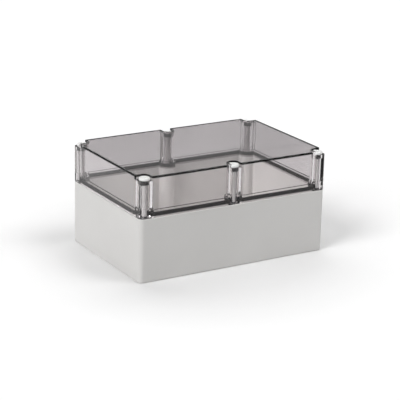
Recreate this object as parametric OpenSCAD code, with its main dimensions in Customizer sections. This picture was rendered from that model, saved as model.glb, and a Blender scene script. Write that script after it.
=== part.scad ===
// Electrical enclosure: a moulded grey base and a clear lid that closes on a foam seal,
// held by six captive cover screws that stand in open notches outside the seal.
// Sizes are in millimetres. The origin is the middle of the underside: X runs along the
// length, the front is -Y and Z is up.

/* [Body] */
// Length along X
body_l = 240; // [190:1:310]
// Width along Y
body_w = 160; // [130:1:230]
// Height of the base up to the parting line
base_h = 73; // [58:1:105]
// Height of the lid above the parting line
lid_h = 47; // [36:1:75]
// Radius of the upright outer corners
corner_r = 5; // [5:0.5:8]
// Radius of the lid's top edge
crown_r = 1.6; // [0.6:0.1:2.2]
// Radius of the base's underside edge
foot_r = 1.5; // [0.6:0.1:2.4]
// Radius of the lip along the base's top edge
lip_r = 0.7; // [0.4:0.1:1]

/* [Walls] */
// Wall of the base
base_wall = 3.5; // [3:0.1:4.5]
// Floor of the base
base_floor = 3; // [2.4:0.1:5]
// Wall of the lid
lid_wall = 3; // [2.4:0.1:4]
// Top panel of the lid
lid_top = 3; // [2.4:0.1:5]

/* [Seal] */
// Skirt of the lid outside the seal groove
skirt_t = 1.2; // [0.8:0.1:1.5]
// Rib of the lid inside the seal groove
rib_t = 1.2; // [1:0.1:1.6]
// Height of the base's sealing tongue
tongue_h = 2; // [1.5:0.1:3]
// Clearance on each side of the tongue
tongue_gap = 0.3; // [0.2:0.05:0.5]
// Height of the seal
gasket_h = 4; // [2.5:0.1:5]
// Clearance between the seal and the groove walls
gasket_gap = 0.05; // [0.02:0.01:0.1]
// Thickness of the lid's rim above the seal
rim_cap = 2.5; // [1.5:0.1:4]
// Gap at the parting line
seam_gap = 0.3; // [0.1:0.05:0.5]

/* [Screw columns] */
// Distance of every screw from the long outer face
screw_inset = 7; // [6.5:0.5:9]
// Distance of the corner screws from the short outer face
corner_inset = 8; // [7:0.5:14]
// Radius of the columns
column_r = 5; // [5:0.1:6]
// Radius of the bends where the walls turn round a column
bend_r = 5.5; // [5.5:0.1:6.5]
// Depth of the open notch over each column
notch_depth = 5; // [4.5:0.1:7]
// Clearance of a notch round the screw's head
notch_gap = 0.5; // [0.3:0.1:0.8]
// Radius of the upright edges of a notch's mouth
mouth_r = 1.4; // [0.5:0.1:2]

/* [Cover screws] */
// Diameter of the shank
shank_d = 6; // [5:0.5:6.5]
// Diameter of the head
head_d = 12; // [10.5:0.5:12.5]
// Height of the head
head_h = 3; // [2.6:0.1:3.8]
// Gap between the head and the floor of its notch
head_gap = 0.2; // [0.1:0.05:0.4]
// Width of the driver slots
slot_w = 1.5; // [0.8:0.1:2]
// Depth of the driver slots
slot_depth = 1.6; // [1:0.1:2.2]
// Length of the driver slots
slot_l = 8; // [6:0.5:9]
// Chamfer of the head and of the screw's tip
screw_bevel = 0.6; // [0.3:0.1:1]
// Reach of the screw below the parting line
screw_reach = 16; // [12:0.5:24]
// Travel of an undone screw
screw_rise = 8; // [4:0.5:10]
// Radial clearance of the shank in the lid
lid_bore_gap = 0.5; // [0.3:0.1:0.8]
// Radial clearance of the shank in the threaded insert
thread_gap = 0.05; // [0.02:0.01:0.1]

/* [Rings and inserts] */
// Outer diameter of the sealing ring under the head
ring_d = 9.4; // [8.4:0.1:10]
// Height of the sealing ring
ring_h = 4.6; // [2:0.1:5.4]
// Radial clearance of the sealing ring in the lid
ring_room = 0.3; // [0.2:0.05:0.4]
// Wall of the retaining ring
keeper_wall = 1.3; // [0.8:0.1:1.8]
// Height of the retaining ring
keeper_h = 1.5; // [1:0.1:2.5]
// Radial clearance of the retaining ring in its bore
keeper_room = 0.4; // [0.3:0.1:0.6]
// Wall of the threaded insert
insert_wall = 1.2; // [0.9:0.1:1.5]
// Length of the threaded insert
insert_l = 14; // [8:0.5:16]
// Depth of the threaded insert below the top of the column
insert_sink = 2; // [1:0.5:4]
// Width of the waist round the threaded insert
waist_h = 3; // [2:0.5:5]
// Depth of the waist round the threaded insert
waist_depth = 0.5; // [0.3:0.1:0.7]
// Radial clearance of a ring or insert on its seat
seat_gap = 0.05; // [0.02:0.01:0.1]
// Bore below the threaded insert, for the screw's tip
tip_room = 8; // [4:1:12]

/* [Floor] */
// Distance of the plate bosses from the short outer faces
boss_inset_x = 25; // [23:1:60]
// Distance of the plate bosses from the long outer faces
boss_inset_y = 25; // [25:1:60]
// Diameter of the plate bosses
boss_d = 8; // [7:0.5:10]
// Height of the plate bosses above the floor
boss_h = 6; // [4:0.5:10]
// Diameter of the pilot holes in the plate bosses
pilot_d = 3.4; // [2.8:0.1:4]
// Floor left under the pilot holes
pilot_floor = 2; // [1.5:0.1:2.4]
// Distance of the wall-fixing holes from the short outer faces
fixing_inset_x = 12; // [11:1:14]
// Distance of the wall-fixing holes from the long outer faces
fixing_inset_y = 29; // [27:1:50]
// Diameter of the wall-fixing holes
fixing_d = 5; // [4:0.1:6]
// Diameter of the raised collar round a wall-fixing hole
collar_d = 11; // [9:0.5:13]
// Height of the raised collar
collar_h = 2; // [1:0.5:3]

/* [Hidden] */
$fn = 96;
PASS = 1;
LEAST_R = 0.2;

PLACES = [
    ["front_left", -1, -1],
    ["front_middle", 0, -1],
    ["front_right", 1, -1],
    ["rear_left", -1, 1],
    ["rear_middle", 0, 1],
    ["rear_right", 1, 1]
];
KINDS = ["cover_screw", "sealing_ring", "retaining_ring", "threaded_insert"];

total_h = base_h + lid_h;
lid_z = base_h + seam_gap;
notch_z = total_h - notch_depth;
notch_r = head_d / 2 + notch_gap;

tongue_out = skirt_t + tongue_gap;
groove_in = base_wall + tongue_gap;
rim_in = groove_in + rib_t;
gasket_z = base_h + tongue_h;
gasket_top = gasket_z + gasket_h;
rim_top = gasket_top + rim_cap;

head_z = notch_z + head_gap;
head_top = head_z + head_h;
tip_z = base_h - screw_reach;
lid_bore_d = shank_d + 2 * lid_bore_gap;
thread_d = shank_d + 2 * thread_gap;
ring_bore_d = shank_d + 2 * seat_gap;
ring_z = head_z - ring_h;
ring_room_d = ring_d + 2 * ring_room;

keeper_d = ring_bore_d + 2 * keeper_wall;
keeper_z = lid_z + keeper_room;
keeper_bore_d = keeper_d + 2 * keeper_room;
keeper_bore_top = keeper_z + keeper_h + screw_rise + keeper_room;

insert_d = thread_d + 2 * insert_wall;
insert_top = base_h - insert_sink;
insert_z = insert_top - insert_l;
insert_seat_d = insert_d + 2 * seat_gap;
tip_bore_z = min(tip_z, insert_z) - tip_room;

function screw_at(place) = [
    place[1] * (body_l / 2 - corner_inset),
    place[2] * (body_w / 2 - screw_inset)
];

// Outline of the body with round corners, moved in from the outer faces
module outline(inset) {
    r = corner_r - inset;
    square([body_l - 2 * corner_r, body_w - 2 * inset], center = true);
    square([body_l - 2 * inset, body_w - 2 * corner_r], center = true);
    for (sx = [-1, 1], sy = [-1, 1])
        translate([sx * (body_l / 2 - corner_r), sy * (body_w / 2 - corner_r)])
            circle(r = r);
}

// Round edge of the body at one height: a bar along each side and a ring section at each corner
module round_edge(r) {
    for (sy = [-1, 1])
        translate([0, sy * (body_w / 2 - r), 0])
            rotate([0, 90, 0])
                cylinder(r = r, h = body_l - 2 * corner_r, center = true);
    for (sx = [-1, 1])
        translate([sx * (body_l / 2 - r), 0, 0])
            rotate([90, 0, 0])
                cylinder(r = r, h = body_w - 2 * corner_r, center = true);
    for (sx = [-1, 1], sy = [-1, 1])
        translate([sx * (body_l / 2 - corner_r), sy * (body_w / 2 - corner_r), 0])
            rotate_extrude()
                translate([corner_r - r, 0])
                    circle(r = r);
    translate([0, 0, -r])
        linear_extrude(2 * r)
            outline(r);
}

// Bend of radius r that carries a wall smoothly from the outer face onto the side of a column
module bend(r, inset) {
    difference() {
        translate([-PASS, -PASS])
            square(r + PASS);
        translate([r, r])
            circle(r = max(r - inset, LEAST_R));
    }
}

// Column of radius r beside the middle of a long face, standing on y = 0
module middle_zone(r) {
    translate([0, screw_inset])
        circle(r = r);
    translate([-r, -PASS])
        square([2 * r, screw_inset + PASS]);
}

// Column of radius r in a corner, with the corner at the origin
module corner_zone(r) {
    translate([corner_inset, screw_inset])
        circle(r = r);
    translate([-PASS, -PASS])
        square([corner_inset + r + PASS, screw_inset + PASS]);
    translate([-PASS, -PASS])
        square([corner_inset + PASS, screw_inset + r + PASS]);
}

// Six columns of radius r in plan, each open to the outer faces
module columns(r) {
    for (sy = [-1, 1]) {
        translate([0, sy * body_w / 2])
            mirror([0, sy > 0 ? 1 : 0])
                middle_zone(r);
        for (sx = [-1, 1])
            translate([sx * body_l / 2, sy * body_w / 2])
                mirror([sx > 0 ? 1 : 0, 0])
                    mirror([0, sy > 0 ? 1 : 0])
                        corner_zone(r);
    }
}

// Bends of radius r on both sides of six columns whose sides stand side_r from the screws
module bends(side_r, r, inset) {
    for (sx = [-1, 1], sy = [-1, 1])
        mirror([sx > 0 ? 1 : 0, 0])
            mirror([0, sy > 0 ? 1 : 0]) {
                translate([-body_l / 2 + corner_inset + side_r, -body_w / 2])
                    bend(r, inset);
                translate([-body_l / 2, -body_w / 2 + screw_inset + side_r])
                    bend(r, inset);
                translate([-side_r, -body_w / 2])
                    mirror([1, 0])
                        bend(r, inset);
            }
}

// Plan of the sealed space, which leaves the columns outside, moved in by an inset
module sealed_plan(inset) {
    difference() {
        square([body_l - 2 * inset, body_w - 2 * inset], center = true);
        columns(column_r + inset);
        bends(column_r, bend_r, inset);
    }
}

// Plan of the six open notches, with round edges at their mouths
module notch_plan() {
    columns(notch_r);
    bends(notch_r, mouth_r, 0);
}

// One hole or ring at each of the six screws
module at_screws(z) {
    for (place = PLACES)
        translate(concat(screw_at(place), z))
            children();
}

// Four copies about the middle of the floor
module at_four(inset_x, inset_y, z) {
    for (sx = [-1, 1], sy = [-1, 1])
        translate([sx * (body_l / 2 - inset_x), sy * (body_w / 2 - inset_y), z])
            children();
}

// Base: tray with a sealing tongue, solid columns, plate bosses and wall-fixing holes
module base() {
    color([0.80, 0.80, 0.78])
        difference() {
            union() {
                difference() {
                    union() {
                        translate([0, 0, foot_r])
                            round_edge(foot_r);
                        translate([0, 0, foot_r])
                            linear_extrude(base_h - foot_r - lip_r)
                                outline(0);
                        translate([0, 0, base_h - lip_r])
                            round_edge(lip_r);
                        translate([0, 0, base_h - tongue_h])
                            linear_extrude(2 * tongue_h)
                                sealed_plan(tongue_out);
                    }
                    translate([0, 0, base_floor])
                        linear_extrude(base_h)
                            sealed_plan(base_wall);
                }
                at_four(boss_inset_x, boss_inset_y, 0)
                    translate([0, 0, base_floor / 2])
                        cylinder(d = boss_d, h = base_floor / 2 + boss_h);
                at_four(fixing_inset_x, fixing_inset_y, 0)
                    translate([0, 0, base_floor / 2])
                        cylinder(d = collar_d, h = base_floor / 2 + collar_h);
            }
            at_four(boss_inset_x, boss_inset_y, pilot_floor)
                cylinder(d = pilot_d, h = base_floor + boss_h);
            at_four(fixing_inset_x, fixing_inset_y, -PASS)
                cylinder(d = fixing_d, h = base_floor + collar_h + 2 * PASS);
            at_screws(insert_z)
                cylinder(d = insert_seat_d, h = base_h - insert_z + PASS);
            at_screws(tip_bore_z)
                cylinder(d = lid_bore_d, h = insert_z - tip_bore_z + PASS);
        }
}

// Lid: clear cover with a notch over each column and a seal groove inside its skirt
module lid() {
    color([0.62, 0.60, 0.61, 0.4])
        difference() {
            union() {
                translate([0, 0, lid_z])
                    linear_extrude(total_h - crown_r - lid_z)
                        outline(0);
                translate([0, 0, total_h - crown_r])
                    round_edge(crown_r);
            }
            translate([0, 0, rim_top])
                linear_extrude(total_h - lid_top - rim_top)
                    sealed_plan(lid_wall);
            translate([0, 0, lid_z - PASS])
                linear_extrude(rim_top - lid_z + 2 * PASS)
                    sealed_plan(rim_in);
            translate([0, 0, lid_z - PASS])
                linear_extrude(gasket_top - lid_z + PASS)
                    difference() {
                        sealed_plan(skirt_t);
                        sealed_plan(groove_in);
                    }
            translate([0, 0, notch_z])
                linear_extrude(notch_depth + PASS)
                    notch_plan();
            at_screws(lid_z - PASS)
                cylinder(d = lid_bore_d, h = notch_z - lid_z + 2 * PASS);
            at_screws(ring_z)
                cylinder(d = ring_room_d, h = notch_z - ring_z + PASS);
            at_screws(lid_z - PASS)
                cylinder(d = keeper_bore_d, h = keeper_bore_top - lid_z + PASS);
        }
}

// Seal: one closed loop in the lid's groove, pressed by the base's tongue
module gasket() {
    color([0.14, 0.13, 0.13])
        translate([0, 0, gasket_z])
            linear_extrude(gasket_h)
                difference() {
                    sealed_plan(skirt_t + gasket_gap);
                    sealed_plan(groove_in - gasket_gap);
                }
}

// Half profile of a cover screw: chamfered tip, plain shank and wide chamfered head
function screw_profile() = [
    [0, tip_z],
    [shank_d / 2 - screw_bevel, tip_z],
    [shank_d / 2, tip_z + screw_bevel],
    [shank_d / 2, head_z],
    [head_d / 2, head_z],
    [head_d / 2, head_top - screw_bevel],
    [head_d / 2 - screw_bevel, head_top],
    [0, head_top]
];

// Cover screw: one turned piece with crossed driver slots in its head
module cover_screw(place) {
    color([0.88, 0.88, 0.87])
        translate(concat(screw_at(place), 0))
            difference() {
                rotate_extrude()
                    polygon(screw_profile());
                for (turn = [0, 90])
                    rotate(turn)
                        translate([-slot_l / 2, -slot_w / 2, head_top - slot_depth])
                            cube([slot_l, slot_w, slot_depth + PASS]);
            }
}

// Sealing ring: sunk in the lid's column under the screw's head
module sealing_ring(place) {
    color([0.10, 0.10, 0.10])
        translate(concat(screw_at(place), ring_z))
            difference() {
                cylinder(d = ring_d, h = ring_h);
                translate([0, 0, -PASS])
                    cylinder(d = ring_bore_d, h = ring_h + 2 * PASS);
            }
}

// Retaining ring: grips the shank inside the lid's column and keeps the screw captive
module retaining_ring(place) {
    color([0.16, 0.16, 0.17])
        translate(concat(screw_at(place), keeper_z))
            difference() {
                cylinder(d = keeper_d, h = keeper_h);
                translate([0, 0, -PASS])
                    cylinder(d = ring_bore_d, h = keeper_h + 2 * PASS);
            }
}

// Threaded insert: waisted bush pressed into a column of the base
module threaded_insert(place) {
    color([0.78, 0.62, 0.28])
        translate(concat(screw_at(place), insert_z))
            difference() {
                cylinder(d = insert_d, h = insert_l);
                translate([0, 0, -PASS])
                    cylinder(d = thread_d, h = insert_l + 2 * PASS);
                translate([0, 0, (insert_l - waist_h) / 2])
                    difference() {
                        cylinder(d = insert_d + 2 * PASS, h = waist_h);
                        cylinder(d = insert_d - 2 * waist_depth, h = waist_h);
                    }
            }
}

base();
lid();
gasket();
for (place = PLACES) {
    cover_screw(place);
    sealing_ring(place);
    retaining_ring(place);
    threaded_insert(place);
}
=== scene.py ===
"""Looks of a moulded electrical enclosure: grey base, clear smoke-grey lid, black seal and captive cover screws."""
import logging
import math
from dataclasses import dataclass
from enum import Enum

import bmesh
import bpy
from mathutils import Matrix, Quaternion, Vector


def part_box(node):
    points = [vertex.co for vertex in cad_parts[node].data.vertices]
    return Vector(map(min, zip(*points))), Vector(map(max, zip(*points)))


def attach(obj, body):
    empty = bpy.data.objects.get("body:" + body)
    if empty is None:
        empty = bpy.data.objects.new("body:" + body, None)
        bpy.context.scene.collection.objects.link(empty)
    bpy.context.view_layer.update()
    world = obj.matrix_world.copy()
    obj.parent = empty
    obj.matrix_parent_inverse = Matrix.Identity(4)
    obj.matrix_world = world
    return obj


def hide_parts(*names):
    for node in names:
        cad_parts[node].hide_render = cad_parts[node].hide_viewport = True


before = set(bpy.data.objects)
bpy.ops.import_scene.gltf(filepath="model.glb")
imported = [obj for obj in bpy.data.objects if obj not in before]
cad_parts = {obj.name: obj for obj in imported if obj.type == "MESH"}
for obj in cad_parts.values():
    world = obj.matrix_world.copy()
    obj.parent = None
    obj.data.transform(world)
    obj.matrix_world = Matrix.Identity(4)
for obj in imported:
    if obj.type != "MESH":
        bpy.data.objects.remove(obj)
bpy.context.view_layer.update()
LOG = logging.getLogger("enclosure")
WELD = 1e-6
CREASE = math.radians(35.0)
HEAD_HEIGHT = 0.003
NOISE_LOW = 0.3
NOISE_HIGH = 0.7
CLOUD_DETAIL = 4.0
UPRIGHT = 0.1
ROUND_STEPS = ((0.08, 0.6), (0.3, 0.3), (0.6, 0.08))

Colour = tuple[float, float, float]
Profile = tuple[tuple[float, float], ...]


class Place(Enum):
    """The six places of the cover screws."""

    FRONT_LEFT = "front_left"
    FRONT_MIDDLE = "front_middle"
    FRONT_RIGHT = "front_right"
    REAR_LEFT = "rear_left"
    REAR_MIDDLE = "rear_middle"
    REAR_RIGHT = "rear_right"


def with_alpha(colour: Colour) -> tuple[float, float, float, float]:
    """Gives a colour as the four numbers that a colour socket takes."""
    return (*colour, 1.0)


class NodeSheet:
    """Writes the node tree of one material."""

    def __init__(self, name: str) -> None:
        """Makes an empty material.

        Args:
            name: Name of the material.
        """
        self.material = bpy.data.materials.new(name)
        self.material.use_nodes = True
        self.tree = self.material.node_tree
        self.tree.nodes.clear()
        self.coordinates = self.add("ShaderNodeTexCoord").outputs["Object"]

    def add(self, kind: str, **values: object) -> bpy.types.Node:
        """Adds one node.

        Args:
            kind: Blender's name for the node type.
            values: Values for its input sockets, with spaces written as underscores.

        Returns:
            The new node.
        """
        node = self.tree.nodes.new(kind)
        for name, value in values.items():
            node.inputs[name.replace("_", " ")].default_value = value
        return node

    def link(self, source: bpy.types.NodeSocket, target: bpy.types.NodeSocket) -> None:
        """Joins two sockets."""
        self.tree.links.new(source, target)

    def noise(self, scale: float, detail: float = 2.0) -> bpy.types.NodeSocket:
        """Adds noise on the piece's own coordinates.

        Args:
            scale: Grains in each metre.
            detail: Octaves of finer grain.

        Returns:
            The noise's even-handed value, from 0 to 1.
        """
        node = self.add("ShaderNodeTexNoise", Scale=scale, Detail=detail)
        self.link(self.coordinates, node.inputs["Vector"])
        return node.outputs["Fac"]

    def spread(self, source: bpy.types.NodeSocket, low: float, high: float) -> bpy.types.NodeSocket:
        """Spreads a noise value over a range.

        Args:
            source: A value that mostly lies between NOISE_LOW and NOISE_HIGH.
            low: The result where the value is small.
            high: The result where the value is large.

        Returns:
            The spread value.
        """
        node = self.add("ShaderNodeMapRange", From_Min=NOISE_LOW, From_Max=NOISE_HIGH, To_Min=low, To_Max=high)
        self.link(source, node.inputs["Value"])
        return node.outputs["Result"]

    def tones(self, source: bpy.types.NodeSocket, dark: Colour, light: Colour) -> bpy.types.NodeSocket:
        """Turns a value into a colour between two tones.

        Args:
            source: The value that chooses the tone.
            dark: Colour at a small value.
            light: Colour at a large value.

        Returns:
            The colour.
        """
        node = self.add("ShaderNodeValToRGB")
        node.color_ramp.elements[0].position = NOISE_LOW
        node.color_ramp.elements[0].color = with_alpha(dark)
        node.color_ramp.elements[1].position = NOISE_HIGH
        node.color_ramp.elements[1].color = with_alpha(light)
        self.link(source, node.inputs["Fac"])
        return node.outputs["Color"]

    def bump(self, source: bpy.types.NodeSocket, height: float) -> bpy.types.NodeSocket:
        """Turns a value into a relief.

        Args:
            source: The value that is the relief's height.
            height: Depth of the relief in metres.

        Returns:
            The tilted normal.
        """
        node = self.add("ShaderNodeBump", Strength=1.0, Distance=height)
        self.link(source, node.inputs["Height"])
        return node.outputs["Normal"]

    def close(self, surface: bpy.types.NodeSocket) -> bpy.types.Material:
        """Joins a shader to the material's output and gives back the material."""
        self.link(surface, self.add("ShaderNodeOutputMaterial").inputs["Surface"])
        return self.material


@dataclass(frozen=True)
class MouldedFinish:
    """A moulded or turned surface with a fine grain."""

    name: str
    dark: Colour
    light: Colour
    rough_low: float
    rough_high: float
    cloud_scale: float
    grain_scale: float
    grain_height: float
    metallic: float = 0.0
    specular: float = 0.5

    def colour(self, sheet: NodeSheet) -> bpy.types.NodeSocket:
        """Builds the finish's clouded colour."""
        return sheet.tones(sheet.noise(self.cloud_scale, CLOUD_DETAIL), self.dark, self.light)

    def material(self) -> bpy.types.Material:
        """Builds the finish's material.

        Returns:
            The material.
        """
        sheet = NodeSheet(self.name)
        shader = sheet.add("ShaderNodeBsdfPrincipled", Metallic=self.metallic)
        shader.inputs["Specular IOR Level"].default_value = self.specular
        grain = sheet.noise(self.grain_scale)
        sheet.link(self.colour(sheet), shader.inputs["Base Color"])
        sheet.link(sheet.spread(grain, self.rough_low, self.rough_high), shader.inputs["Roughness"])
        sheet.link(sheet.bump(grain, self.grain_height), shader.inputs["Normal"])
        return sheet.close(shader.outputs["BSDF"])


@dataclass(frozen=True)
class ShadedShankFinish(MouldedFinish):
    """The finish of a screw whose shank, below the head, is darkened with painted shade."""

    # The shank colour is painted shade, laid on everything below the underside of the head.
    shank: Colour = (0.65, 0.65, 0.65)
    shade_line: float = 0.0

    def colour(self, sheet: NodeSheet) -> bpy.types.NodeSocket:
        """Builds the clouded colour and darkens it below the head with painted shade.

        Args:
            sheet: The material's node tree.

        Returns:
            The colour.
        """
        place = sheet.add("ShaderNodeSeparateXYZ")
        sheet.link(sheet.coordinates, place.inputs["Vector"])
        step = sheet.add("ShaderNodeMapRange", From_Min=self.shade_line - WELD, From_Max=self.shade_line + WELD)
        sheet.link(place.outputs["Z"], step.inputs["Value"])
        both = sheet.add("ShaderNodeVectorMath")
        both.operation = "MULTIPLY"
        sheet.link(super().colour(sheet), both.inputs[0])
        sheet.link(sheet.tones(step.outputs["Result"], self.shank, (1.0, 1.0, 1.0)), both.inputs[1])
        return both.outputs["Vector"]


@dataclass(frozen=True)
class ClearFinish:
    """Clear smoke-grey moulding that bends light and lets the lamps reach what is behind it."""

    name: str
    thin: Colour
    thick: Colour
    shade: Colour
    gloss: Colour
    bend: float
    rough_low: float
    rough_high: float
    flow_scale: float
    flow_height: float

    def material(self) -> bpy.types.Material:
        """Builds the finish's material.

        Returns:
            The material.
        """
        sheet = NodeSheet(self.name)
        shader = sheet.add(
            "ShaderNodeBsdfPrincipled", IOR=self.bend, Transmission_Weight=1.0, Specular_Tint=with_alpha(self.gloss)
        )
        flow = sheet.noise(self.flow_scale)
        sheet.link(sheet.tones(flow, self.thick, self.thin), shader.inputs["Base Color"])
        sheet.link(sheet.spread(flow, self.rough_low, self.rough_high), shader.inputs["Roughness"])
        sheet.link(sheet.bump(flow, self.flow_height), shader.inputs["Normal"])
        clear = sheet.add("ShaderNodeBsdfTransparent", Color=with_alpha(self.shade))
        mix = sheet.add("ShaderNodeMixShader")
        sheet.link(sheet.add("ShaderNodeLightPath").outputs["Is Shadow Ray"], mix.inputs[0])
        sheet.link(shader.outputs["BSDF"], mix.inputs[1])
        sheet.link(clear.outputs["BSDF"], mix.inputs[2])
        return sheet.close(mix.outputs["Shader"])


GREY_SHELL = MouldedFinish(
    "grey_shell",
    dark=(0.605, 0.597, 0.585),
    light=(0.645, 0.637, 0.625),
    rough_low=0.40,
    rough_high=0.52,
    cloud_scale=9.0,
    grain_scale=2600.0,
    grain_height=0.00002,
)
# The bend is below the 1.586 of polycarbonate, so that the lid's edges show as thin lines.
CLEAR_COVER = ClearFinish(
    "clear_cover",
    thin=(0.73, 0.707, 0.714),
    thick=(0.69, 0.667, 0.674),
    shade=(0.97, 0.965, 0.967),
    gloss=(0.5, 0.5, 0.5),
    bend=1.42,
    rough_low=0.0,
    rough_high=0.02,
    flow_scale=14.0,
    flow_height=0.00002,
)
FOAM_SEAL = MouldedFinish(
    "foam_seal",
    dark=(0.012, 0.011, 0.011),
    light=(0.03, 0.028, 0.028),
    rough_low=0.75,
    rough_high=0.95,
    cloud_scale=700.0,
    grain_scale=1500.0,
    grain_height=0.0002,
    specular=0.3,
)
# The screws are darkened below the head with painted shade.
SCREW_MOULDING = ShadedShankFinish(
    "screw_moulding",
    dark=(0.88, 0.88, 0.87),
    light=(0.92, 0.92, 0.91),
    rough_low=0.22,
    rough_high=0.34,
    cloud_scale=120.0,
    grain_scale=2200.0,
    grain_height=0.00001,
    shade_line=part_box("cover_screw_front_left")[1].z - HEAD_HEIGHT - WELD,
)
RING_RUBBER = MouldedFinish(
    "ring_rubber",
    dark=(0.012, 0.012, 0.012),
    light=(0.03, 0.03, 0.03),
    rough_low=0.5,
    rough_high=0.7,
    cloud_scale=300.0,
    grain_scale=1800.0,
    grain_height=0.00003,
    specular=0.4,
)
KEEPER_MOULDING = MouldedFinish(
    "keeper_moulding",
    dark=(0.04, 0.04, 0.042),
    light=(0.06, 0.06, 0.062),
    rough_low=0.4,
    rough_high=0.55,
    cloud_scale=300.0,
    grain_scale=2400.0,
    grain_height=0.00002,
)
INSERT_BRASS = MouldedFinish(
    "insert_brass",
    dark=(0.62, 0.42, 0.15),
    light=(0.78, 0.57, 0.25),
    rough_low=0.2,
    rough_high=0.38,
    cloud_scale=220.0,
    grain_scale=3000.0,
    grain_height=0.00002,
    metallic=1.0,
)


class PieceMesh:
    """One piece in the making, turned about the upright axis through the origin."""

    def __init__(self) -> None:
        """Starts with no geometry."""
        self.shape = bmesh.new()

    def weld(self) -> None:
        """Merges the points that lie on each other."""
        bmesh.ops.remove_doubles(self.shape, verts=self.shape.verts, dist=WELD)

    def turn(
        self, profile: Profile, closed: bool = False, sweep: float = math.tau, steps: int = 48, climb: float = 0.0
    ) -> None:
        """Turns a half profile about the axis.

        Args:
            profile: Radius and height of each corner, in metres.
            closed: Whether the profile is a closed loop.
            sweep: Angle of the turn.
            steps: Facets along the turn.
            climb: Rise at each step, for a thread.
        """
        corners = [self.shape.verts.new((radius, 0.0, height)) for radius, height in profile]
        ends = corners[1:] + corners[:1] if closed else corners[1:]
        edges = [self.shape.edges.new(pair) for pair in zip(corners, ends)]
        bmesh.ops.spin(
            self.shape,
            geom=corners + edges,
            cent=(0.0, 0.0, 0.0),
            axis=(0.0, 0.0, 1.0),
            dvec=(0.0, 0.0, climb),
            angle=sweep,
            steps=steps,
            use_merge=sweep == math.tau and climb == 0.0,
        )
        self.weld()

    def thread(self, root: float, crest: float, foot: float, top: float, pitch: float, steps: int = 24) -> None:
        """Winds a right-handed thread between two heights, as the piece's first surface.

        Args:
            root: Radius at the bottom of the thread.
            crest: Radius at its crest.
            foot: Height where it starts.
            top: Height where it ends.
            pitch: Rise in one turn.
            steps: Facets in one turn.
        """
        turns = math.ceil((top - foot) / pitch) + 1
        start = foot - pitch
        flanks = ((root, start), (crest, start + pitch / 2), (root, start + pitch))
        self.turn(flanks, sweep=turns * math.tau, steps=turns * steps, climb=pitch / steps)
        for height, side in ((foot, -1.0), (top, 1.0)):
            bmesh.ops.bisect_plane(
                self.shape,
                geom=[*self.shape.verts, *self.shape.edges, *self.shape.faces],
                dist=WELD,
                plane_co=(0.0, 0.0, height),
                plane_no=(0.0, 0.0, side),
                clear_outer=True,
            )

    def rims(self, low: float, high: float) -> list[bmesh.types.BMEdge]:
        """Finds the open edges between two heights.

        Args:
            low: The lower height.
            high: The upper height.

        Returns:
            The edges.
        """
        return [
            edge
            for edge in self.shape.edges
            if edge.is_boundary and all(low - WELD <= corner.co.z <= high + WELD for corner in edge.verts)
        ]

    def bridge(self, low: float, high: float) -> None:
        """Joins the two open rims between two heights."""
        bmesh.ops.bridge_loops(self.shape, edges=self.rims(low, high))

    def cap(self, height: float) -> None:
        """Closes the open rim at a height with one face."""
        bmesh.ops.edgeloop_fill(self.shape, edges=self.rims(height, height))

    def level_faces(self, height: float) -> list[bmesh.types.BMFace]:
        """Finds the faces that lie at a height.

        Args:
            height: The height.

        Returns:
            The faces.
        """
        return [
            face for face in self.shape.faces if all(abs(corner.co.z - height) < WELD for corner in face.verts)
        ]

    def cross_slots(self, height: float, length: float, width: float, depth: float, edge: float) -> None:
        """Sinks two crossed slots into the flat face at a height.

        Args:
            height: Height of the face.
            length: Length of each slot.
            width: Width of each slot.
            depth: Depth of each slot.
            edge: Size of the rounding along the slots' upper edges.
        """
        for normal in (Vector((1.0, 0.0, 0.0)), Vector((0.0, 1.0, 0.0))):
            for offset in (-length / 2, -width / 2, width / 2, length / 2):
                faces = self.level_faces(height)
                around = {part for face in faces for part in (*face.verts, *face.edges)}
                bmesh.ops.bisect_plane(
                    self.shape, geom=[*around, *faces], dist=WELD, plane_co=normal * offset, plane_no=normal
                )
        floor = []
        for face in self.level_faces(height):
            near, far = sorted(abs(value) for value in face.calc_center_median()[:2])
            if near < width / 2 and far < length / 2:
                floor.append(face)
        sunk = bmesh.ops.extrude_face_region(self.shape, geom=floor)["geom"]
        moved = [part for part in sunk if isinstance(part, bmesh.types.BMVert)]
        bmesh.ops.translate(self.shape, verts=moved, vec=(0.0, 0.0, -depth))
        bmesh.ops.delete(self.shape, geom=floor, context="FACES")
        self.shape.normal_update()
        upper = [
            rim
            for rim in self.shape.edges
            if all(abs(corner.co.z - height) < WELD for corner in rim.verts)
            and any(abs(face.normal.z) < UPRIGHT for face in rim.link_faces)
            and all(corner.co.xy.length < length for corner in rim.verts)
        ]
        self.round(upper, edge, 2)

    def ring_edges(self) -> list[bmesh.types.BMEdge]:
        """Finds the sharp edges that run level round the axis.

        Returns:
            The edges.
        """
        self.shape.normal_update()
        found = []
        for edge in self.shape.edges:
            first, last = (corner.co for corner in edge.verts)
            level = abs(first.z - last.z) < WELD and abs(first.xy.length - last.xy.length) < WELD
            if level and edge.calc_face_angle(0.0) > CREASE:
                found.append(edge)
        return found

    def sharp_edges(self) -> list[bmesh.types.BMEdge]:
        """Finds all edges that are sharper than the crease angle."""
        self.shape.normal_update()
        return [edge for edge in self.shape.edges if edge.calc_face_angle(0.0) > CREASE]

    def round(self, edges: list[bmesh.types.BMEdge], size: float, segments: int) -> None:
        """Rounds some edges.

        Args:
            edges: The edges.
            size: Reach of the rounding.
            segments: Facets across it.
        """
        bmesh.ops.bevel(
            self.shape,
            geom=edges,
            offset=size,
            segments=segments,
            profile=0.5,
            affect="EDGES",
            material=-1,
            clamp_overlap=True,
        )

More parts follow.
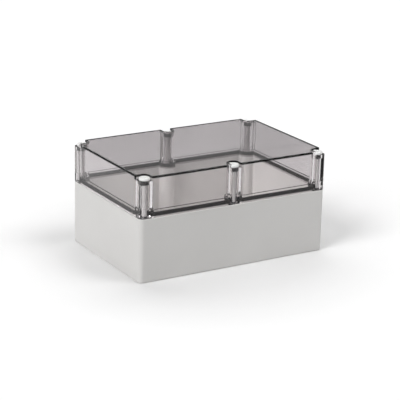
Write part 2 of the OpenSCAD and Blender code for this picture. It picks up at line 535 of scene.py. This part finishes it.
    def finish(self, name: str, node: str, body: str, material: bpy.types.Material, axis: Vector) -> None:
        """Makes the piece an object that stands for a node of the frame.

        Args:
            name: Name of the piece.
            node: The node that it stands for.
            body: The body that carries it.
            material: The finish itself.
            axis: Where the upright axis stands.
        """
        self.weld()
        bmesh.ops.recalc_face_normals(self.shape, faces=self.shape.faces)
        bmesh.ops.translate(self.shape, verts=self.shape.verts, vec=(axis.x, axis.y, 0.0))
        open_edges = sum(not edge.is_manifold for edge in self.shape.edges)
        mesh = bpy.data.meshes.new(name)
        self.shape.to_mesh(mesh)
        self.shape.free()
        mesh.shade_smooth()
        mesh.set_sharp_from_angle(angle=CREASE)
        mesh.materials.append(material)
        piece = bpy.data.objects.new(name, mesh)
        bpy.context.scene.collection.objects.link(piece)
        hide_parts(node)
        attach(piece, body)
        LOG.info("built %s: %d faces, %d open edges", name, len(mesh.polygons), open_edges)


def node_span(node: str) -> tuple[Vector, float, float, float]:
    """Measures an upright round node.

    Args:
        node: Name of the node.

    Returns:
        Its axis, its radius, its foot and its top.
    """
    low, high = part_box(node)
    return (low + high) / 2, (high.x - low.x) / 2, low.z, high.z


@dataclass
class CoverScrew:
    """A captive cover screw: threaded end, plain shank and wide head with crossed slots."""

    place: Place
    shank: float = 0.003
    root: float = 0.00262
    crest: float = 0.00297
    pitch: float = 0.001
    lead: float = 0.0006
    thread_length: float = 0.0148
    runout: float = 0.0006
    head_height: float = HEAD_HEIGHT
    neck: float = 0.0004
    neck_bend: float = 0.3
    under_edge: float = 0.0003
    rim: float = 0.0008
    slot_width: float = 0.0015
    slot_length: float = 0.008
    slot_depth: float = 0.0016
    slot_edge: float = 0.00012

    def build(self, material: bpy.types.Material) -> None:
        """Builds the screw over its node.

        Args:
            material: The finish.
        """
        node = f"cover_screw_{self.place.value}"
        axis, head, tip, top = node_span(node)
        foot, end = tip + self.lead, tip + self.thread_length
        point = foot - self.lead / 4
        under = top - self.head_height
        piece = PieceMesh()
        piece.thread(self.root, self.crest, foot, end, self.pitch)
        piece.turn(((0.0, tip), (self.root - self.lead, tip), (self.root, point)))
        piece.bridge(point, foot)
        piece.turn(
            (
                (self.shank, end + self.runout),
                (self.shank, under - self.neck),
                (self.shank + self.neck * self.neck_bend, under - self.neck * self.neck_bend),
                (self.shank + self.neck, under),
                (head - self.under_edge, under),
                (head, under + self.under_edge),
                (head, top - self.rim),
                *((head - self.rim * inward, top - self.rim * down) for inward, down in ROUND_STEPS),
                (head - self.rim, top),
            ),
            steps=64,
        )
        piece.bridge(end, end + self.runout)
        piece.cap(top)
        piece.cross_slots(top, self.slot_length, self.slot_width, self.slot_depth, self.slot_edge)
        piece.finish(
            f"turned_screw_{self.place.value}", node, f"screw_{self.place.value}", material, axis
        )


@dataclass
class SealingRing:
    """A rubber ring with a bead at each end, round the shank under the head."""

    place: Place
    bore: float = 0.00305
    bead: float = 0.0016
    dip: float = 0.0004
    slope: float = 0.0003
    edge: float = 0.0003

    def build(self, material: bpy.types.Material) -> None:
        """Builds the ring over its node.

        Args:
            material: The finish.
        """
        node = f"sealing_ring_{self.place.value}"
        axis, outer, foot, top = node_span(node)
        piece = PieceMesh()
        piece.turn(
            (
                (self.bore, foot),
                (outer, foot),
                (outer, foot + self.bead),
                (outer - self.dip, foot + self.bead + self.slope),
                (outer - self.dip, top - self.bead - self.slope),
                (outer, top - self.bead),
                (outer, top),
                (self.bore, top),
            ),
            closed=True,
        )
        piece.round(piece.ring_edges(), self.edge, 3)
        piece.finish(
            f"beaded_ring_{self.place.value}", node, f"ring_{self.place.value}", material, axis
        )


@dataclass
class RetainingRing:
    """A split ring that is sprung onto the shank and keeps the screw in the lid."""

    place: Place
    bore: float = 0.00305
    opening: float = 34.0
    edge: float = 0.00015

    def build(self, material: bpy.types.Material) -> None:
        """Builds the ring over its node.

        Args:
            material: The finish.
        """
        node = f"retaining_ring_{self.place.value}"
        axis, outer, foot, top = node_span(node)
        piece = PieceMesh()
        piece.turn(
            ((self.bore, foot), (outer, foot), (outer, top), (self.bore, top)),
            closed=True,
            sweep=math.tau - math.radians(self.opening),
            steps=44,
        )
        bmesh.ops.holes_fill(piece.shape, edges=piece.rims(foot, top), sides=4)
        piece.round(piece.sharp_edges(), self.edge, 2)
        piece.finish(
            f"split_ring_{self.place.value}", node, f"screw_{self.place.value}", material, axis
        )


@dataclass
class ThreadedInsert:
    """A brass bush with two knurled bands, a waist and an inner thread."""

    place: Place
    bore: float = 0.00305
    thread_depth: float = 0.00028
    pitch: float = 0.001
    chamfer: float = 0.0003
    waist: float = 0.003
    waist_depth: float = 0.0005
    rows: int = 6
    knurl: float = 0.00016

    def band(self, radius: float, foot: float, top: float) -> Profile:
        """Divides a knurled band into rows.

        Args:
            radius: Radius of the band.
            foot: Height of its lower edge.
            top: Height of its upper edge.

        Returns:
            The band's part of the profile.
        """
        return tuple((radius, foot + (top - foot) * row / self.rows) for row in range(self.rows + 1))

    def build(self, material: bpy.types.Material) -> None:
        """Builds the bush over its node.

        Args:
            material: The finish.
        """
        node = f"threaded_insert_{self.place.value}"
        axis, outer, foot, top = node_span(node)
        low, high = (foot + top - self.waist) / 2, (foot + top + self.waist) / 2
        neck = outer - self.waist_depth
        piece = PieceMesh()
        piece.thread(self.bore + self.thread_depth, self.bore, foot, top, self.pitch)
        piece.turn(
            (
                (outer - self.chamfer, foot),
                *self.band(outer, foot + self.chamfer, low),
                (neck, low),
                (neck, high),
                *self.band(outer, high, top - self.chamfer),
                (outer - self.chamfer, top),
            )
        )
        piece.bridge(foot, foot)
        piece.bridge(top, top)
        bands = [
            face
            for face in piece.shape.faces
            if all(abs(corner.co.xy.length - outer) < WELD for corner in face.verts)
        ]
        bmesh.ops.recalc_face_normals(piece.shape, faces=piece.shape.faces)
        bmesh.ops.poke(piece.shape, faces=bands, offset=-self.knurl)
        piece.finish(f"knurled_insert_{self.place.value}", node, "base", material, axis)


@dataclass
class FoamSeal:
    """The seal, foamed into the lid's groove so that it clings to the groove's walls."""

    cling: float = 0.00007

    def build(self, material: bpy.types.Material) -> None:
        """Builds the seal over its node.

        Args:
            material: The finish.
        """
        piece = PieceMesh()
        piece.shape.from_mesh(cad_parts["gasket"].data)
        piece.weld()
        piece.shape.normal_update()
        reach = {corner: corner.normal * corner.calc_shell_factor() * self.cling for corner in piece.shape.verts}
        for corner, step in reach.items():
            corner.co += step
        piece.finish("foamed_seal", "gasket", "lid", material, Vector((0.0, 0.0, 0.0)))


def dress(node: str, material: bpy.types.Material) -> None:
    """Gives a node of the frame its finish.

    Args:
        node: Name of the node.
        material: The finish.
    """
    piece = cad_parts[node]
    piece.data.materials.clear()
    piece.data.materials.append(material)
    LOG.info("dressed %s with %s", node, material.name)


def seen_rays(tree: bpy.types.NodeTree) -> bpy.types.NodeSocket:
    """Adds the test for rays that show a thing to the eye.

    Args:
        tree: The tree that gets the nodes.

    Returns:
        A value that is 1 for the camera's rays and for those that gloss or glass sends on.
    """
    path = tree.nodes.new("ShaderNodeLightPath")
    result = path.outputs["Is Camera Ray"]
    for name in ("Is Glossy Ray", "Is Transmission Ray"):
        either = tree.nodes.new("ShaderNodeMath")
        either.operation = "MAXIMUM"
        tree.links.new(result, either.inputs[0])
        tree.links.new(path.outputs[name], either.inputs[1])
        result = either.outputs[0]
    return result


@dataclass(frozen=True)
class Lamp:
    """A broad soft lamp, far away.

    The turn is the angle from the left, towards the front, and the lift is the angle above the floor.
    """

    name: str
    strength: float
    spread: float
    turn: float
    lift: float

    def build(self) -> None:
        """Hangs the lamp."""
        turn, lift = math.radians(self.turn), math.radians(self.lift)
        toward = Vector((-math.cos(turn) * math.cos(lift), -math.sin(turn) * math.cos(lift), math.sin(lift)))
        data = bpy.data.lights.new(self.name, "SUN")
        data.energy = self.strength
        data.angle = math.radians(self.spread)
        lamp = bpy.data.objects.new(self.name, data)
        lamp.rotation_mode = "QUATERNION"
        lamp.rotation_quaternion = toward.to_track_quat("Z", "Y")
        bpy.context.scene.collection.objects.link(lamp)


LAMPS = (
    Lamp("key", strength=2.22, spread=34.0, turn=14.0, lift=30.0),
    Lamp("fill", strength=1.1, spread=34.0, turn=136.0, lift=48.0),
    Lamp("rim", strength=1.2, spread=60.0, turn=250.0, lift=50.0),
)


@dataclass
class Studio:
    """Floor, lamps, world and camera."""

    azimuth: float = -31.345
    elevation: float = 18.079
    roll: float = 1.434
    distance: float = 1.784172
    shift_right: float = 0.00208
    shift_up: float = 0.052184
    focal_pixels: float = 1536.593
    frame_pixels: float = 400.0
    sensor: float = 36.0
    view_end: float = 60.0
    floor_side: float = 14.0
    floor_drop: float = 0.0002
    paper_dark: Colour = (0.92, 0.92, 0.92)
    paper_light: Colour = (0.94, 0.94, 0.94)
    paper_scale: float = 3.0
    paper_glow: float = 0.15
    glow_start: float = 0.15
    glow_full: float = 0.27
    sky_level: float = 0.04
    horizon_level: float = 1.0
    upper_level: float = 0.35
    horizon_top: float = 0.1
    upper_foot: float = 0.25

    def build(self) -> None:
        """Builds the whole studio."""
        self.build_camera()
        self.build_floor()
        for lamp in LAMPS:
            lamp.build()
        self.build_world()
        bpy.context.scene.view_settings.view_transform = "Standard"
        LOG.info("built the studio")

    def build_camera(self) -> None:
        """Puts the camera where the photograph was taken from."""
        turn, lift = math.radians(self.azimuth), math.radians(self.elevation)
        back = Vector((math.sin(turn) * math.cos(lift), -math.cos(turn) * math.cos(lift), math.sin(lift)))
        right = Vector((math.cos(turn), math.sin(turn), 0.0))
        up = back.cross(right)
        data = bpy.data.cameras.new("camera")
        data.sensor_width = self.sensor
        data.lens = self.sensor * self.focal_pixels / self.frame_pixels
        data.clip_end = self.view_end
        camera = bpy.data.objects.new("camera", data)
        camera.location = back * self.distance + right * self.shift_right + up * self.shift_up
        camera.rotation_mode = "QUATERNION"
        level = (-back).to_track_quat("-Z", "Y")
        camera.rotation_quaternion = level @ Quaternion((0.0, 0.0, 1.0), math.radians(self.roll))
        bpy.context.scene.collection.objects.link(camera)
        bpy.context.scene.camera = camera

    def build_floor(self) -> None:
        """Lays a pale floor that is white to the eye and still takes the shadow."""
        shape = bmesh.new()
        bmesh.ops.create_grid(shape, x_segments=1, y_segments=1, size=self.floor_side / 2)
        bmesh.ops.translate(shape, verts=shape.verts, vec=(0, 0, -self.floor_drop))
        mesh = bpy.data.meshes.new("floor")
        shape.to_mesh(mesh)
        shape.free()
        floor = bpy.data.objects.new("floor", mesh)
        bpy.context.scene.collection.objects.link(floor)
        sheet = NodeSheet("floor_paper")
        paper = sheet.add("ShaderNodeBsdfDiffuse")
        cloud = sheet.noise(self.paper_scale)
        sheet.link(sheet.tones(cloud, self.paper_dark, self.paper_light), paper.inputs["Color"])
        reach = sheet.add("ShaderNodeVectorMath")
        reach.operation = "LENGTH"
        sheet.link(sheet.coordinates, reach.inputs[0])
        fade = sheet.add(
            "ShaderNodeMapRange", From_Min=self.glow_start, From_Max=self.glow_full, To_Max=self.paper_glow
        )
        sheet.link(reach.outputs["Value"], fade.inputs["Value"])
        glow = sheet.add("ShaderNodeEmission")
        sheet.link(fade.outputs["Result"], glow.inputs["Strength"])
        both = sheet.add("ShaderNodeAddShader")
        sheet.link(paper.outputs["BSDF"], both.inputs[0])
        sheet.link(glow.outputs["Emission"], both.inputs[1])
        pick = sheet.add("ShaderNodeMixShader")
        sheet.link(seen_rays(sheet.tree), pick.inputs[0])
        sheet.link(paper.outputs["BSDF"], pick.inputs[1])
        sheet.link(both.outputs["Shader"], pick.inputs[2])
        mesh.materials.append(sheet.close(pick.outputs["Shader"]))

    def build_world(self) -> None:
        """Makes a world that is white round the horizon where it is seen, and plain where it lights."""
        world = bpy.data.worlds.new("studio")
        world.use_nodes = True
        tree = world.node_tree
        tree.nodes.clear()
        direction = tree.nodes.new("ShaderNodeTexCoord")
        split = tree.nodes.new("ShaderNodeSeparateXYZ")
        height = tree.nodes.new("ShaderNodeMapRange")
        for name, value in (
            ("From Min", self.horizon_top),
            ("From Max", self.upper_foot),
            ("To Min", self.horizon_level),
            ("To Max", self.upper_level),
        ):
            height.inputs[name].default_value = value
        seen = tree.nodes.new("ShaderNodeBackground")
        lit = tree.nodes.new("ShaderNodeBackground")
        lit.inputs["Strength"].default_value = self.sky_level
        mix = tree.nodes.new("ShaderNodeMixShader")
        out = tree.nodes.new("ShaderNodeOutputWorld")
        tree.links.new(direction.outputs["Generated"], split.inputs["Vector"])
        tree.links.new(split.outputs["Z"], height.inputs["Value"])
        tree.links.new(height.outputs["Result"], seen.inputs["Strength"])
        tree.links.new(seen_rays(tree), mix.inputs[0])
        tree.links.new(lit.outputs[0], mix.inputs[1])
        tree.links.new(seen.outputs[0], mix.inputs[2])
        tree.links.new(mix.outputs[0], out.inputs["Surface"])
        bpy.context.scene.world = world


def main() -> None:
    """Builds the studio and dresses every piece."""
    logging.basicConfig(level=logging.INFO, format="%(name)s: %(message)s")
    Studio().build()
    dress("base", GREY_SHELL.material())
    dress("lid", CLEAR_COVER.material())
    FoamSeal().build(FOAM_SEAL.material())
    screw, ring = SCREW_MOULDING.material(), RING_RUBBER.material()
    keeper, brass = KEEPER_MOULDING.material(), INSERT_BRASS.material()
    for place in Place:
        CoverScrew(place).build(screw)
        SealingRing(place).build(ring)
        RetainingRing(place).build(keeper)
        ThreadedInsert(place).build(brass)


if __name__ == "__main__":
    main()
